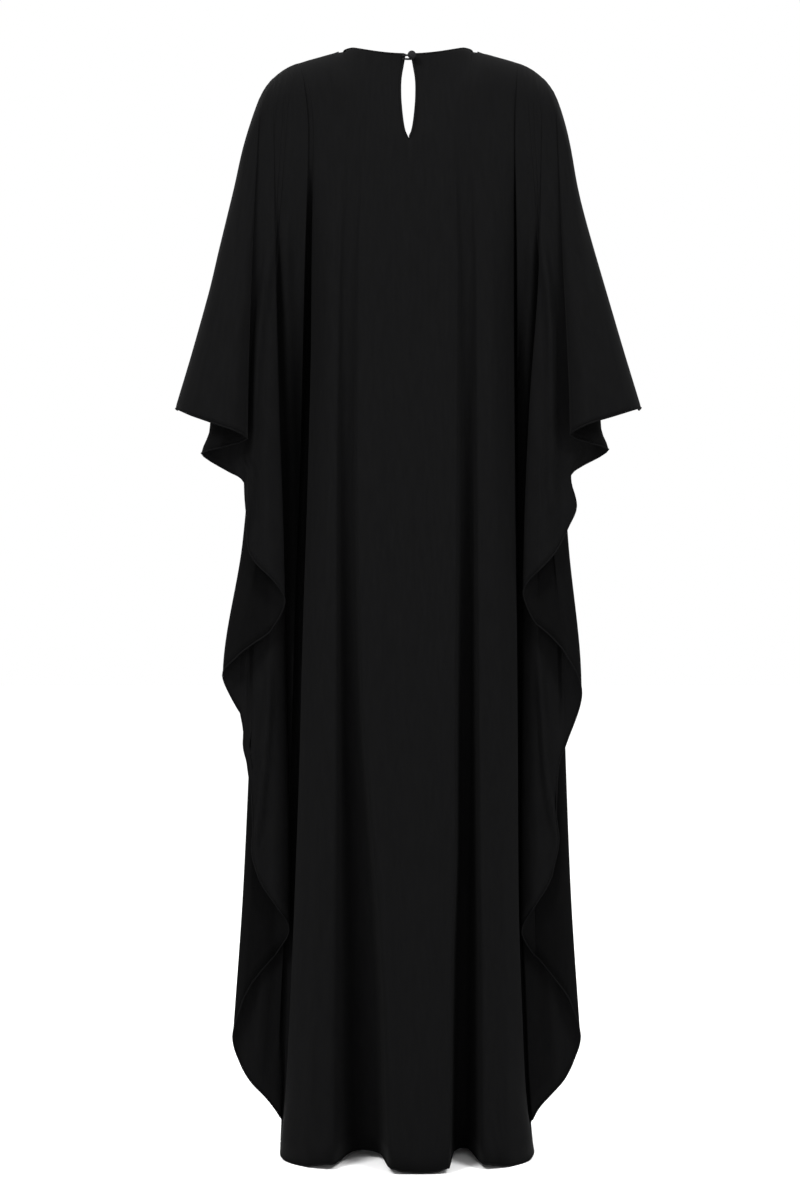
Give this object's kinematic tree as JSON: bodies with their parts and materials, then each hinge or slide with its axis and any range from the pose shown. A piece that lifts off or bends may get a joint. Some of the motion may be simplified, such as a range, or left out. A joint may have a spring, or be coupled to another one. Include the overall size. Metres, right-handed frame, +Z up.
{
  "type": "batwing gown",
  "caption": "Full-length batwing gown in matte black crepe, open in the worn shape, with cascading free side edges, a round neck and a keyhole back closed by a covered button and a loop",
  "frame": {"origin": "the middle of the neck opening, at the height of the neck points, where the shoulders of whoever wears the gown hold it", "axes": "+Z up, +Y towards the front of the wearer, +X to the wearer's right, so the keyhole back faces -Y"},
  "size_m": [0.6154, 0.253, 1.4504],
  "materials": {
    "crepe": "matte black crepe with a faint soft sheen",
    "binding": "narrow bias strip of the same black crepe",
    "trim": "covered button and fine loop in the same black cloth"
  },
  "bodies": {
    "root": {"back_panel": "crepe", "front_panel": "crepe", "neck_binding": "binding", "keyhole_binding": "binding", "button": "trim", "button_loop": "trim"}
  },
  "joints": []
}
